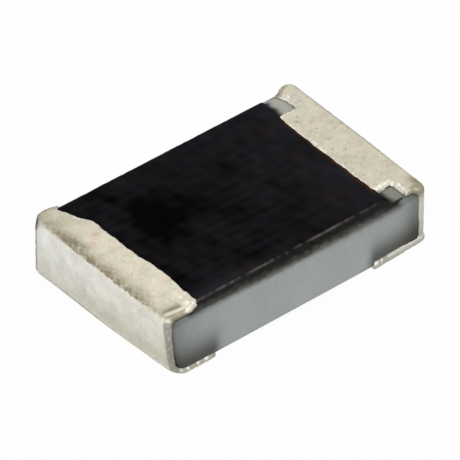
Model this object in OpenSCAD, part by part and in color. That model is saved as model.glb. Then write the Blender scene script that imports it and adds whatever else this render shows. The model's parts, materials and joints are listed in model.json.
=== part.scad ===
// Thick-film chip resistor, 2012 metric case, in millimetres.
// The origin is at the middle of the seating plane under the solder pads.
// X runs along the chip to its right end, Y to its back and Z up.

/* [Ceramic] */
// Length of the alumina block between its snapped ends
ceramic_length = 1.93; // [1.8:0.01:2.1]
// Width of the alumina block between its snapped sides
ceramic_width = 1.29; // [1.15:0.01:1.4]
// Thickness of the alumina block
ceramic_thickness = 0.37; // [0.3:0.01:0.5]
// How far the score bevel on each long top edge runs in from the side
score_width = 0.045; // [0.03:0.005:0.06]
// How far the score bevel drops from the top
score_depth = 0.03; // [0.02:0.005:0.05]

/* [Electrodes] */
// Thickness of the printed silver on the top, ends and underside
electrode_thickness = 0.01; // [0.008:0.001:0.014]
// Bare margin between the silver and the side of the block
electrode_margin = 0.02; // [0.012:0.001:0.022]
// How far the full-width top band runs in from the end of the block
top_band_reach = 0.1; // [0.05:0.005:0.11]
// Bare width beside the left top tab, at each side of the block
left_notch_width = 0.155; // [0.12:0.005:0.2]
// Bare width beside the right top tab, at each side of the block
right_notch_width = 0.23; // [0.16:0.005:0.25]
// Offset of the top print to the back
top_print_shift = -0.06; // [-0.06:0.005:0.06]
// Fillet where the tab meets the band
notch_round = 0.02; // [0.01:0.002:0.03]
// How far the pad on the underside runs in from the end of the block
bottom_reach = 0.314; // [0.25:0.002:0.4]
// Offset of the underside print along the chip
bottom_print_shift = -0.041; // [-0.05:0.001:0.05]
// Rounding of the silver's corners seen from above
plan_round = 0.02; // [0.016:0.001:0.022]
// Rounding of the silver over the end edges
end_round = 0.01; // [0.006:0.001:0.014]
// Rounding of the silver over the side edges
side_round = 0.015; // [0.012:0.001:0.018]

/* [Plating] */
// Thickness of the nickel barrier on the silver
nickel_thickness = 0.01; // [0.006:0.001:0.012]
// Thickness of the tin on the nickel
tin_thickness = 0.015; // [0.012:0.001:0.02]
// How far the tin creeps round its edges on to the sides of the block
side_creep = 0.012; // [0.006:0.001:0.02]

/* [Resistor element] */
// Length of the resistive film along the chip
film_length = 1.24; // [1.1:0.01:1.3]
// How far the film lies on each top tab
film_overlap = 0.07; // [0.04:0.005:0.1]
// How far the film stays inside the sides of the narrower tab
film_inset = 0.015; // [0.005:0.005:0.05]
// Thickness of the resistive film
film_thickness = 0.009; // [0.006:0.001:0.01]
// How far the glass over the film reaches past its edges
glass_margin = 0.03; // [0.02:0.005:0.04]
// Thickness of the glass over the film
glass_thickness = 0.005; // [0.004:0.001:0.006]
// Width of the trimming cut through glass and film
kerf_width = 0.035; // [0.02:0.005:0.05]
// Depth of the trimming cut from the front edge of the film
kerf_plunge = 0.36; // [0.2:0.01:0.5]
// Length of the leg of the trimming cut along the chip
kerf_leg = 0.3; // [0.1:0.01:0.4]

/* [Overcoat] */
// How far the black coat reaches past the glass at each end
coat_margin = 0.07; // [0.05:0.005:0.09]
// Offset of the coat along the chip
coat_shift = -0.025; // [-0.04:0.005:0.04]
// Thickness of the coat over the highest stretch of the glass
coat_cover = 0.009; // [0.006:0.001:0.012]
// How far the shoulder of the coat lies in from the side of the block
shoulder_inset = 0.07; // [0.05:0.002:0.08]
// Thickness of the coat where it thins out at the foot of the score bevel
coat_lip = 0.004; // [0.002:0.001:0.006]
// Gap between the plating and the coat that has run into the left notches
ear_gap = 0.01; // [0.006:0.001:0.015]

/* [Hidden] */
// Segments of a full circle
$fn = 64;

left = -1;
right = 1;
half_length = ceramic_length / 2;
half_width = ceramic_width / 2;

// How far each metal layer stands off the block
silver_rise = electrode_thickness;
nickel_rise = silver_rise + nickel_thickness;
tin_rise = nickel_rise + tin_thickness;

// The block stands on the thickness of the plating under it
block_bottom = tin_rise;
block_top = block_bottom + ceramic_thickness;
block_middle = block_bottom + ceramic_thickness / 2;
bevel_foot = block_top - score_depth;
chip_top = block_top + tin_rise;

// The film lies on both tabs, the glass on the film and the coat on the glass
top_reach = half_length - film_length / 2 + film_overlap;
film_width = ceramic_width - 2 * (max(left_notch_width, right_notch_width) + film_inset);
glass_length = film_length + 2 * glass_margin;
glass_width = film_width + 2 * glass_margin;
glazed_thickness = film_thickness + glass_thickness;
coat_length = glass_length + 2 * coat_margin;
coat_rise = silver_rise + glazed_thickness + coat_cover;

// Spans that reach past every surface of the chip, for cuts and extrusions
past_length = ceramic_length * 2;
past_width = ceramic_width * 2;
past_height = chip_top * 2;

// Shapes in a plane

// Rectangle from one corner to the opposite one, with four round corners
module rounded(low, high, r) {
  size = high - low;
  translate([low.x + r, low.y]) square([size.x - 2 * r, size.y]);
  translate([low.x, low.y + r]) square([size.x, size.y - 2 * r]);
  for (x = [low.x + r, high.x - r], y = [low.y + r, high.y - r])
    translate([x, y]) circle(r);
}

// Strip from the outside to a tip whose upper corner is round
module leg(outside, tip, low, high, r) {
  translate([outside, low]) square([tip - r - outside, high - low]);
  translate([outside, low]) square([tip - outside, high - low - r]);
  translate([tip - r, high - r]) circle(r);
}

// Extrusions of a drawn shape

// Drawn in X and Z, extruded across the chip
module across() {
  rotate([90, 0, 0]) linear_extrude(past_width, center = true) children();
}

// Drawn in Y and Z, extruded along the chip
module along(length = past_length) {
  rotate([90, 0, 90]) linear_extrude(length, center = true) children();
}

// Drawn in X and Y, extruded up from a height
module upward(low) {
  translate([0, 0, low]) linear_extrude(past_height) children();
}

// Places what is drawn for the left end at either end
module at_end(end) {
  if (end == right) mirror([1, 0, 0]) children();
  else children();
}

// Ceramic block

module block_section() {
  polygon([
    [-half_width, block_bottom],
    [half_width, block_bottom],
    [half_width, bevel_foot],
    [half_width - score_width, block_top],
    [score_width - half_width, block_top],
    [-half_width, bevel_foot]
  ]);
}

module ceramic_substrate() {
  color("lightgray") along(ceramic_length) block_section();
}

// Wrap-around metal

// The whole block grown by the metal on it, with its edges round
module grown(rise) {
  build_up = rise - silver_rise;
  tip = half_length + rise;
  side = half_width - electrode_margin + build_up;
  low = block_bottom - rise;
  high = block_top + rise;
  intersection() {
    upward(0) rounded([-tip, -side], [tip, side], plan_round + build_up);
    across() rounded([-tip, low], [tip, high], end_round + build_up);
    along() rounded([-side, low], [side, high], side_round + build_up);
  }
}

// Outline of the left wrap seen from the side: end wall, top leg and bottom leg
module wrap_outline(rise, top_tip, bottom_tip) {
  outside = -half_length - past_length;
  translate([outside, -past_height])
    square([side_creep - half_length - outside, past_height * 2]);
  leg(outside, top_tip, bevel_foot - side_creep, block_top + rise, rise / 2);
  mirror([0, 1])
    leg(outside, bottom_tip, -block_bottom - side_creep, rise - block_bottom, rise / 2);
}

// Half the width of the top tab at an end
function tab_half(end) = half_width - (end == left ? left_notch_width : right_notch_width);

// Corners beside the tab that the top print leaves bare, drawn for the left end
module notches(end, rise) {
  build_up = rise - silver_rise;
  band_end = -half_length + top_band_reach + build_up;
  tab_side = tab_half(end) + build_up;
  upward(block_middle) translate([0, top_print_shift]) {
    rounded([band_end, tab_side], [past_length, past_width], notch_round);
    mirror([0, 1]) rounded([band_end, tab_side], [past_length, past_width], notch_round);
  }
}

// Metal up to one layer, drawn for the left end
module wrap(end, rise, top_tip, bottom_tip) {
  difference() {
    intersection() {
      grown(rise);
      across() wrap_outline(rise, top_tip, bottom_tip);
    }
    notches(end, rise);
  }
}

// Where the coat ends, measured on the left end as drawn
function coat_end(end) = -end * coat_shift - coat_length / 2;

// Inner end of the pad under an end, measured on the left end as drawn
function pad_tip(end, rise) =
  -half_length + bottom_reach - end * bottom_print_shift + rise - silver_rise;

// Each wrap is drawn through the block, which is then taken out of it
module silver_wrap(end) {
  wrap(end, silver_rise, -half_length + top_reach, pad_tip(end, silver_rise));
}

module nickel_wrap(end) {
  wrap(end, nickel_rise, coat_end(end) - tin_thickness, pad_tip(end, nickel_rise));
}

module tin_wrap(end) {
  wrap(end, tin_rise, coat_end(end), pad_tip(end, tin_rise));
}

// Silver printed on the top of the block
module top_electrode(end) {
  color("silver") at_end(end) difference() {
    intersection() {
      silver_wrap(end);
      translate([-half_length, -past_width, block_middle])
        cube([ceramic_length, past_width * 2, past_height]);
    }
    along() block_section();
  }
}

// Silver printed on the underside of the block
module bottom_electrode(end) {
  color("silver") at_end(end) difference() {
    intersection() {
      silver_wrap(end);
      translate([-half_length, -past_width, block_middle - past_height])
        cube([ceramic_length, past_width * 2, past_height]);
    }
    along() block_section();
  }
}

// Silver on the snapped end of the block, which joins the two prints
module edge_electrode(end) {
  color("gray") at_end(end) intersection() {
    silver_wrap(end);
    translate([-half_length - past_length, -past_width, 0])
      cube([past_length, past_width * 2, past_height]);
  }
}

module nickel_barrier(end) {
  color("darkgray") at_end(end) difference() {
    nickel_wrap(end);
    silver_wrap(end);
    ceramic_substrate();
  }
}

module tin_cap(end) {
  color("gainsboro") at_end(end) difference() {
    tin_wrap(end);
    nickel_wrap(end);
    silver_wrap(end);
    ceramic_substrate();
  }
}

// Resistor element

// Layer over the block that steps up over the ends of the two top tabs
module stepped_layer(length, width, thickness) {
  step = half_length - top_reach - thickness;
  height = block_top + thickness - block_middle;
  front = top_print_shift - width / 2;
  translate([-length / 2, front, block_middle]) cube([length, width, height]);
  for (end = [left, right])
    at_end(end) translate([-length / 2, front, block_middle])
      cube([length / 2 - step, width, height + silver_rise]);
}

// L-shaped cut from the front edge of the film that sets the resistance
module trim_kerf() {
  front = top_print_shift - film_width / 2;
  plunge_end = front + kerf_plunge;
  upward(block_bottom) {
    translate([-kerf_leg / 2, front - past_width]) square([kerf_width, past_width + kerf_plunge]);
    translate([-kerf_leg / 2, plunge_end - kerf_width]) square([kerf_leg, kerf_width]);
  }
}

// What the printed layers lie on
module printed_base() {
  ceramic_substrate();
  for (end = [left, right])
    at_end(end) silver_wrap(end);
}

module resistor_film() {
  color("dimgray") difference() {
    stepped_layer(film_length, film_width, film_thickness);
    trim_kerf();
    printed_base();
  }
}

module trim_glass() {
  color("darkseagreen") difference() {
    stepped_layer(glass_length, glass_width, glazed_thickness);
    stepped_layer(film_length, film_width, film_thickness);
    trim_kerf();
    printed_base();
  }
}

// Overcoat

// Plan of the coat, with ears that have run into the notches beside the left tab
module coat_plan() {
  coat_left = coat_end(left);
  build_up = tin_rise - silver_rise;
  ear_end = -half_length + top_band_reach + build_up + ear_gap;
  ear_side = tab_half(left) + build_up + ear_gap;
  translate([coat_left, -half_width]) square([coat_length, ceramic_width]);
  difference() {
    translate([ear_end, -half_width]) square([coat_left + coat_length - ear_end, ceramic_width]);
    translate([-past_length, top_print_shift - ear_side])
      square([past_length, ear_side * 2]);
  }
}

// The coat is flat on top and drapes over the score bevels at its sides
module coat_form() {
  shoulder = half_width - shoulder_inset;
  coat_top = block_top + coat_rise;
  intersection() {
    along() polygon([
      [-half_width, bevel_foot],
      [half_width, bevel_foot],
      [half_width, bevel_foot + coat_lip],
      [shoulder, coat_top],
      [-shoulder, coat_top],
      [-half_width, bevel_foot + coat_lip]
    ]);
    upward(0) coat_plan();
  }
}

module overcoat() {
  color("black") difference() {
    coat_form();
    printed_base();
    difference() {
      stepped_layer(glass_length, glass_width, glazed_thickness);
      trim_kerf();
    }
  }
}

ceramic_substrate();
resistor_film();
trim_glass();
overcoat();
top_electrode(left);  // top_electrode_left
top_electrode(right);  // top_electrode_right
bottom_electrode(left);  // bottom_electrode_left
bottom_electrode(right);  // bottom_electrode_right
edge_electrode(left);  // edge_electrode_left
edge_electrode(right);  // edge_electrode_right
nickel_barrier(left);  // nickel_barrier_left
nickel_barrier(right);  // nickel_barrier_right
tin_cap(left);  // tin_cap_left
tin_cap(right);  // tin_cap_right
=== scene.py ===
import json
import math

import bpy
import numpy as np
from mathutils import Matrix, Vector


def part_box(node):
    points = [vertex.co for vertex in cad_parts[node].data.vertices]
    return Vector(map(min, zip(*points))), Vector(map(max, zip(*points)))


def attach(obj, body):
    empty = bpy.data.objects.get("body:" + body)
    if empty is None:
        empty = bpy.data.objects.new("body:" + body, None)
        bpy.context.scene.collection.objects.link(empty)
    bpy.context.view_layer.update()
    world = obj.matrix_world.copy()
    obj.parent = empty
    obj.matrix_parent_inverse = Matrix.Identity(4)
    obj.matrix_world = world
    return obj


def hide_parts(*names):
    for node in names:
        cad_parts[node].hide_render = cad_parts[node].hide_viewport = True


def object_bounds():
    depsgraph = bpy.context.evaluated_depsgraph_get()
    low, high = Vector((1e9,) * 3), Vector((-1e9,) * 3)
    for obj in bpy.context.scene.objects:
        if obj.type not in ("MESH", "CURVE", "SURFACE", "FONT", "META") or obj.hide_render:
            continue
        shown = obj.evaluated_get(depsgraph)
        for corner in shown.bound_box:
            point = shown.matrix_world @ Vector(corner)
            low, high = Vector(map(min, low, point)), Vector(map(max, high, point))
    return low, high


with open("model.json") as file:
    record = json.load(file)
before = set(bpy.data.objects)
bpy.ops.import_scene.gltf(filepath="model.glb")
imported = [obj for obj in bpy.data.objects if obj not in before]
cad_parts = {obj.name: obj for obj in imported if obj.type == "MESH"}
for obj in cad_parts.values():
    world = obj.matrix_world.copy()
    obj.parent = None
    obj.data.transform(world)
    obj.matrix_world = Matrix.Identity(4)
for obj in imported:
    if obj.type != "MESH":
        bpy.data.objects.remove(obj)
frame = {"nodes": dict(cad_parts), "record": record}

cad_low, cad_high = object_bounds()


# Ceramic block
# A slip of alumina, pressed, fired and snapped out of a scored sheet. The scoring leaves a bevel
# along both long top edges, and snapping leaves plain sides and ends that aren't quite square.
MM = 0.001


def millimetres(node):
    """Lowest and highest corner of a CAD piece, in millimetres."""
    return [np.array(corner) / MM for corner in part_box(node)]


def ramp(value, start, end):
    """Smooth climb from 0 at start to 1 at end."""
    t = np.clip((value - start) / (end - start), 0.0, 1.0)
    return t * t * (3.0 - 2.0 * t)


def near(distance, width):
    """Soft spot that is 1 at no distance and fades out over a width."""
    return np.exp(-(distance / width) ** 2)


def rounded(a, b, radius):
    """Field of what lies inside both fields, with the edge between them rounded."""
    corner = np.hypot(np.maximum(a + radius, 0.0), np.maximum(b + radius, 0.0))
    return np.minimum(np.maximum(a, b), -radius) + corner


# Crossing waves in a ripple, and the fewest and the most of them to one length.
WAVES = 18
FEWEST = 0.7
MOST = 1.4


def ripple(x, y, z, wave):
    """Unevenness at points, made of crossing waves in many directions. A wave gives its height, its
    length in millimetres and the seed of its draw."""
    height, length, seed = wave
    draw = np.random.default_rng(seed)
    total = 0.0
    for _ in range(WAVES):
        way = draw.normal(size=3)
        way *= math.tau / length * draw.uniform(FEWEST, MOST) / np.linalg.norm(way)
        total = total + np.sin(way[0] * x + way[1] * y + way[2] * z + draw.uniform(0.0, math.tau))
    return height * total / math.sqrt(WAVES)


GRID_START = 1.5
GRID_STOP = 2.0


def skin(field, low, high, step):
    """Vertices and four-sided faces of the surface where a field of distances is zero. The grid
    starts one and a half steps outside, so that no flat face lies on a row of its points."""
    axes = [np.arange(a - GRID_START * step, b + GRID_STOP * step, step) for a, b in zip(low, high)]
    grid = np.stack(np.meshgrid(*axes, indexing="ij"), axis=-1)
    value = field(grid[..., 0], grid[..., 1], grid[..., 2])
    total = np.zeros(grid.shape)
    hits = np.zeros(value.shape)
    around = []
    for axis in range(3):
        last = value.shape[axis] - 1
        inner = value.take(range(last), axis)
        outer = value.take(range(1, last + 1), axis)
        place = np.argwhere((inner < 0.0) != (outer < 0.0))
        inner = inner[tuple(place.T)]
        outer = outer[tuple(place.T)]
        crossing = grid[tuple(place.T)]
        crossing[:, axis] += step * inner / (inner - outer)
        cells = []
        for back, down in ((1, 1), (0, 1), (0, 0), (1, 0)):
            cell = place.copy()
            cell[:, (axis + 1) % 3] -= back
            cell[:, (axis + 2) % 3] -= down
            np.add.at(total, tuple(cell.T), crossing)
            np.add.at(hits, tuple(cell.T), 1.0)
            cells.append(np.ravel_multi_index(tuple(cell.T), value.shape))
        faces = np.stack(cells, axis=1)
        faces[inner > 0.0] = faces[inner > 0.0][:, ::-1]
        around.append(faces)
    used = hits > 0.0
    number = np.cumsum(used.ravel()) - 1
    return total[used] / hits[used][:, None], number[np.concatenate(around)]


LEAST_SLOPE = 1e-9


def outward(field, points, reach):
    """Unit vectors that point straight out of a field at given points."""
    slope = np.empty_like(points)
    for axis in range(3):
        shift = np.zeros(3)
        shift[axis] = reach
        slope[:, axis] = field(*(points + shift).T) - field(*(points - shift).T)
    return slope / np.maximum(np.linalg.norm(slope, axis=1, keepdims=True), LEAST_SLOPE)


chip_low = np.array(cad_low) / MM
chip_high = np.array(cad_high) / MM
LEAN_FRONT = 0.06
LEAN_BACK = -0.012
LEAN_CURVE = 1.5
SKEW = 0.02
FOOT_RISE = 0.022
RISE_FROM = 0.45
END_FROM = 0.7
END_TO = 0.95


def snapped(points):
    """Points moved as the snapping left the ends: the left one leans in at its foot, most at the
    front, and the right one stands about a degree askew with its foot a little high."""
    x, y, z = points.T
    down = np.clip(1.0 - z / chip_high[2], 0.0, 1.0)
    front = (chip_high[1] - y) / (chip_high[1] - chip_low[1])
    lean = (LEAN_BACK + (LEAN_FRONT - LEAN_BACK) * front) * down ** LEAN_CURVE
    moved = points.copy()
    moved[:, 0] += ramp(-x, END_FROM, END_TO) * lean + ramp(x, END_FROM, END_TO) * SKEW * y
    moved[:, 2] += ramp(x, RISE_FROM, chip_high[0]) * FOOT_RISE * down
    return moved


def piece(name, points, faces, material, masks):
    """Object with smooth faces from points in millimetres, with named masks on its points."""
    mesh = bpy.data.meshes.new(name)
    mesh.from_pydata((snapped(points) * MM).tolist(), [], faces.tolist())
    mesh.polygons.foreach_set("use_smooth", np.ones(len(mesh.polygons), dtype=bool))
    for mask, values in masks.items():
        layer = mesh.attributes.new(mask, "FLOAT", "POINT")
        layer.data.foreach_set("value", np.clip(values, 0.0, 1.0).astype(np.float32))
    mesh.materials.append(material)
    made = bpy.data.objects.new(name, mesh)
    bpy.context.scene.collection.objects.link(made)
    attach(made, "root")
    return made


def linear(code):
    """Linear colour of an sRGB hex value."""
    parts = [int(code[i:i + 2], 16) / 255 for i in (0, 2, 4)]
    return [p / 12.92 if p <= 0.04045 else ((p + 0.055) / 1.055) ** 2.4 for p in parts] + [1.0]


def add(tree, kind, inputs, **settings):
    """One node with its settings; an input takes a value or the socket that feeds it."""
    made = tree.nodes.new(kind)
    for key, value in settings.items():
        setattr(made, key, value)
    for key, value in inputs.items():
        if isinstance(value, bpy.types.NodeSocket):
            tree.links.new(value, made.inputs[key])
        else:
            made.inputs[key].default_value = value
    return made


def surface(name):
    """New material with its tree, its shader and the object's own coordinates in metres."""
    made = bpy.data.materials.new(name)
    made.use_nodes = True
    tree = made.node_tree
    shader = tree.nodes["Principled BSDF"]
    place = tree.nodes.new("ShaderNodeTexCoord").outputs["Object"]
    return made, tree, shader, place


block_low, block_high = millimetres("ceramic_substrate")
half_length = block_high[0]
half_width = block_high[1]
block_foot = block_low[2]
block_top = block_high[2]
SCORE_WIDTH = 0.045
SCORE_DEPTH = 0.03
bevel_foot = block_top - SCORE_DEPTH
score_line = half_width - SCORE_WIDTH
BLOCK_CORNER = 0.058
BLOCK_EDGE = 0.006
BLOCK_STEP = 0.01


def block_field(x, y, z):
    """Distance out of the block."""
    sides = np.abs(y) - half_width
    slope = math.hypot(SCORE_WIDTH, SCORE_DEPTH)
    bevel = (sides * SCORE_DEPTH + (z - bevel_foot) * SCORE_WIDTH) / slope
    walls = rounded(np.abs(x) - half_length, sides, BLOCK_CORNER)
    return rounded(np.maximum(walls, bevel), np.maximum(z - block_top, block_foot - z), BLOCK_EDGE)


LIP_INSET = 0.018
LIP_LEFT = 0.011
LIP_LEFT_FROM = -0.1
LIP_LEFT_TO = -0.75


def lip(x):
    """Side and height of the ink's lower edge on the bevels, a little further up at the left."""
    inset = LIP_INSET + LIP_LEFT * ramp(x, LIP_LEFT_FROM, LIP_LEFT_TO)
    return half_width - inset, bevel_foot + SCORE_DEPTH * inset / SCORE_WIDTH


COAT_RIGHT = 0.737
COAT_BACK = 0.025
COAT_BACK_FROM = 0.2
COAT_BACK_TO = 0.5
COAT_END_WAVE = (0.003, 0.08, 23)


def coat_end(y):
    """Right end of the coat, a little further out at the back."""
    further = COAT_BACK * ramp(y, COAT_BACK_FROM, COAT_BACK_TO)
    return COAT_RIGHT + further + ripple(0.0, y, 0.0, COAT_END_WAVE)


points, faces = skin(block_field, block_low, block_high, BLOCK_STEP)
x, y, z = points.T

# Painted shade: the ceramic is drawn darker beside the ends and above the pads, and more so low down
# beside the right end. Each shade has its strength and its width in millimetres.
LEFT_WALL = 0.954
LEFT_TAPER = 0.014
LEFT_CREEP = 0.012
RIGHT_WALL = 0.924
RIGHT_CREEP = 0.034
LEFT_SHADE = 0.16
LEFT_SHADE_WIDTH = 0.03
LEFT_HAZE = 0.45
LEFT_HAZE_WIDTH = 0.17
RIGHT_SHADE = 0.52
RIGHT_SHADE_LOW = 0.14
RIGHT_SHADE_WIDTH = 0.11
SHADE_LOW_FROM = 0.1
SHADE_LOW_TO = 0.35
PAD_SHADE = 0.8
PAD_SHADE_HEIGHT = 0.14
PAD_SHADE_WIDTH = 0.055
pad_tips = [millimetres("tin_cap_left")[1][0], millimetres("tin_cap_right")[0][0]]
by_left = np.maximum(x + LEFT_WALL + LEFT_TAPER * (1.0 - z / chip_high[2]), 0.0)
by_right = np.maximum(RIGHT_WALL - x, 0.0)
off_pad = np.minimum(np.maximum(x - pad_tips[0], 0.0), np.maximum(pad_tips[1] - x, 0.0))
over_pad = np.maximum(z - block_foot - np.where(x < 0.0, LEFT_CREEP, RIGHT_CREEP), 0.0)
left_shade = LEFT_SHADE * np.exp(-by_left / LEFT_SHADE_WIDTH)
left_shade = left_shade + LEFT_HAZE * np.exp(-by_left / LEFT_HAZE_WIDTH)
right_shade = RIGHT_SHADE + RIGHT_SHADE_LOW * ramp(block_top - z, SHADE_LOW_FROM, SHADE_LOW_TO)
right_shade = right_shade * near(by_right, RIGHT_SHADE_WIDTH)
pad_shade = PAD_SHADE * near(over_pad, PAD_SHADE_HEIGHT) * near(off_pad, PAD_SHADE_WIDTH)
# The clear mask is 1 where the ceramic keeps its own colour, and falls where painted shade darkens
# it.
clear = (1.0 - left_shade) * (1.0 - right_shade) * (1.0 - pad_shade)

# Painted shadow on the sides under the coat's lip, in a line that widens to the right, and painted
# shade on the front bevel.
INK_LEFT = -0.86
INK_LEFT_FULL = -0.8
INK_RIGHT = 0.84
BACK_INK_RIGHT = 0.78
INK_TAIL = 0.08
INK_SHADOW = 0.66
INK_SHADOW_WIDTH = 0.02
INK_SHADOW_RIGHT = 0.02
SHADOW_WIDENS = 0.7
INK_HAZE = 0.1
INK_HAZE_WIDTH = 0.1
BESIDE_INK = 1.08
BEVEL_SOFT = 0.006
BEVEL_SHADE = 0.25
INK_EDGE_WAVE = (0.003, 0.06, 1)
lip_side, lip_foot = lip(x)
under_ink = BESIDE_INK * np.maximum(np.abs(y) - lip_side, 0.0) + np.maximum(lip_foot - z, 0.0)
under_ink = np.maximum(under_ink + ripple(x, y, 0.0, INK_EDGE_WAVE), 0.0)
ink_end = np.where(y < 0.0, INK_RIGHT, BACK_INK_RIGHT)
inked = ramp(x, INK_LEFT, INK_LEFT_FULL) * (1.0 - ramp(x, ink_end - INK_TAIL, ink_end))
on_bevel = ramp(z, bevel_foot - BEVEL_SOFT, bevel_foot + BEVEL_SOFT)
soft_edge = INK_SHADOW_WIDTH + INK_SHADOW_RIGHT * ramp(x, -SHADOW_WIDENS, SHADOW_WIDENS)
shadow = INK_SHADOW * near(under_ink, soft_edge) + INK_HAZE * np.exp(-under_ink / INK_HAZE_WIDTH)
clear = clear * (1.0 - inked * shadow) * (1.0 - BEVEL_SHADE * on_bevel * (y < 0.0))

# The flat top shows bare in the notches, darker at the front than at the back.
TOP_FROM = 0.01
TOP_TO = 0.003
TOP_MARGIN = 0.004
TOP_SOFT = 0.008
FRONT_CLEAR = 0.58
BACK_CLEAR = 0.38
CLEAR_FROM = -0.4
CLEAR_TO = 0.4
bare_top = ramp(z, block_top - TOP_FROM, block_top - TOP_TO)
bare_top = bare_top * ramp(score_line + TOP_MARGIN - np.abs(y), 0.0, TOP_SOFT)
clear = clear * (1.0 - bare_top)
clear = clear + bare_top * (FRONT_CLEAR + BACK_CLEAR * ramp(y, CLEAR_FROM, CLEAR_TO))

# Ink that ran on past the coat: a streak along the front bevel, an ear on each bevel beside the
# left tin, and a fading edge in the notches.
INK_OUT = -0.004
INK_IN = 0.006
STREAK_FROM = 0.6
STREAK_TO = 0.65
STREAK_END = 0.12
STREAK_TOP_FROM = -0.008
STREAK_TOP_TO = 0.002
STREAK_WAVE = (0.004, 0.05, 2)
EAR_FROM = 0.8
EAR_TO = 0.84
BLEED = 0.05
BLEED_WAVE = (0.004, 0.06, 3)
run_out = np.clip((INK_RIGHT - x) / (INK_RIGHT - COAT_RIGHT), 0.0, 1.0)
lip_line = score_line + (SCORE_WIDTH - LIP_INSET) * np.sqrt(run_out)
streak = ramp(lip_line - np.abs(y) + ripple(x, y, 0.0, STREAK_WAVE), INK_OUT, INK_IN) * on_bevel
streak = streak * (y < 0.0) * ramp(x, STREAK_FROM, STREAK_TO) * ramp(run_out, 0.0, STREAK_END)
streak = streak * ramp(np.abs(y) - score_line, STREAK_TOP_FROM, STREAK_TOP_TO)
ear = ramp(lip_side - np.abs(y), INK_OUT, INK_IN) * on_bevel
ear = ear * ramp(-x, STREAK_FROM, STREAK_TO) * (1.0 - ramp(-x, EAR_FROM, EAR_TO))
bleed = bare_top * (1.0 - ramp(x - coat_end(y) + ripple(x, y, 0.0, BLEED_WAVE), 0.0, BLEED))
ink_mask = np.maximum.reduce([streak, ear, bleed])

# Fired alumina, 96 % pure: matt, pale grey, with a grain of a few microns. The grain is drawn about
# three times too coarse, so that it shows.
alumina, tree, shader, place = surface("fired_alumina")
GRAIN = 0.012 * MM
CLOUD = 0.2 * MM
# Sockets of a mix of two colours.
FACTOR = 0
UNDER = 6
OVER = 7
MIXED = 2
grain = add(tree, "ShaderNodeTexNoise", {"Vector": place, "Scale": 1 / GRAIN, "Detail": 3.0})
cloud = add(tree, "ShaderNodeTexNoise", {"Vector": place, "Scale": 1 / CLOUD, "Detail": 2.0})
pale = add(tree, "ShaderNodeMix", {FACTOR: cloud.outputs["Fac"], UNDER: linear("AEB4B2"),
                                   OVER: linear("CDD2CE")}, data_type="RGBA")
speckled = add(tree, "ShaderNodeMix", {FACTOR: grain.outputs["Fac"], UNDER: linear("A6ACAC"),
                                       OVER: pale.outputs[MIXED]}, data_type="RGBA")
on_flat = add(tree, "ShaderNodeAttribute", {}, attribute_name="bare_top")
toned = add(tree, "ShaderNodeMix", {FACTOR: on_flat.outputs["Fac"], UNDER: speckled.outputs[MIXED],
                                    OVER: linear("BCBCB0")}, data_type="RGBA")
# Painted shade: where the clear mask falls, the ceramic is mixed towards a dark brown.
unshaded = add(tree, "ShaderNodeAttribute", {}, attribute_name="clear")
shaded = add(tree, "ShaderNodeMix", {FACTOR: unshaded.outputs["Fac"], UNDER: linear("2C281B"),
                                      OVER: toned.outputs[MIXED]}, data_type="RGBA")
ink_film = add(tree, "ShaderNodeAttribute", {}, attribute_name="ink_film")
printed = add(tree, "ShaderNodeMix", {FACTOR: ink_film.outputs["Fac"], UNDER: shaded.outputs[MIXED],
                                      OVER: linear("1E1D1B")}, data_type="RGBA")
tree.links.new(printed.outputs[MIXED], shader.inputs["Base Color"])
bump = add(tree, "ShaderNodeBump", {"Strength": 0.5, "Distance": 0.002 * MM,
                                    "Height": grain.outputs["Fac"]})
tree.links.new(bump.outputs["Normal"], shader.inputs["Normal"])
shader.inputs["Roughness"].default_value = 0.75
shader.inputs["IOR"].default_value = 1.77
shader.inputs["Specular IOR Level"].default_value = 0.1

ceramic = piece("ceramic_block", points, faces, alumina,
                {"clear": clear, "bare_top": bare_top, "ink_film": ink_mask})
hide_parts("ceramic_substrate")


# Layers inside
# Fired silver, nickel, the resistive film and its glass lie sealed between the ceramic, the coat
# and the tin. They keep their CAD shapes, tucked under the chip's rounded corners and leaning ends.
LEFT_FRONT_CORNER = 0.09
LEFT_BACK_CORNER = 0.104
RIGHT_CORNER = 0.065
CORNER_BLEND = 0.06
TOP_LEFT_ROUND = 0.05
TOP_LEFT_EXTRA = 0.045
TOP_LEFT_FROM = 0.5
TOP_LEFT_TO = 0.62
TOP_RIGHT_ROUND = 0.028
TOP_RIGHT_EXTRA = 0.012
TOP_RIGHT_FROM = -0.1
TOP_RIGHT_TO = -0.5
TOP_SIDE_ROUND = 0.034
FOOT_LEFT_ROUND = 0.036
FOOT_LEFT_EXTRA = 0.045
FOOT_LEFT_FROM = -0.2
FOOT_LEFT_TO = 0.6
FOOT_RIGHT_ROUND = 0.02
FOOT_SIDE_ROUND = 0.016


def foot_left_round(y):
    """Rounding along the foot of the left end, which grows towards the back."""
    return FOOT_LEFT_ROUND + FOOT_LEFT_EXTRA * ramp(y, FOOT_LEFT_FROM, FOOT_LEFT_TO)


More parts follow.
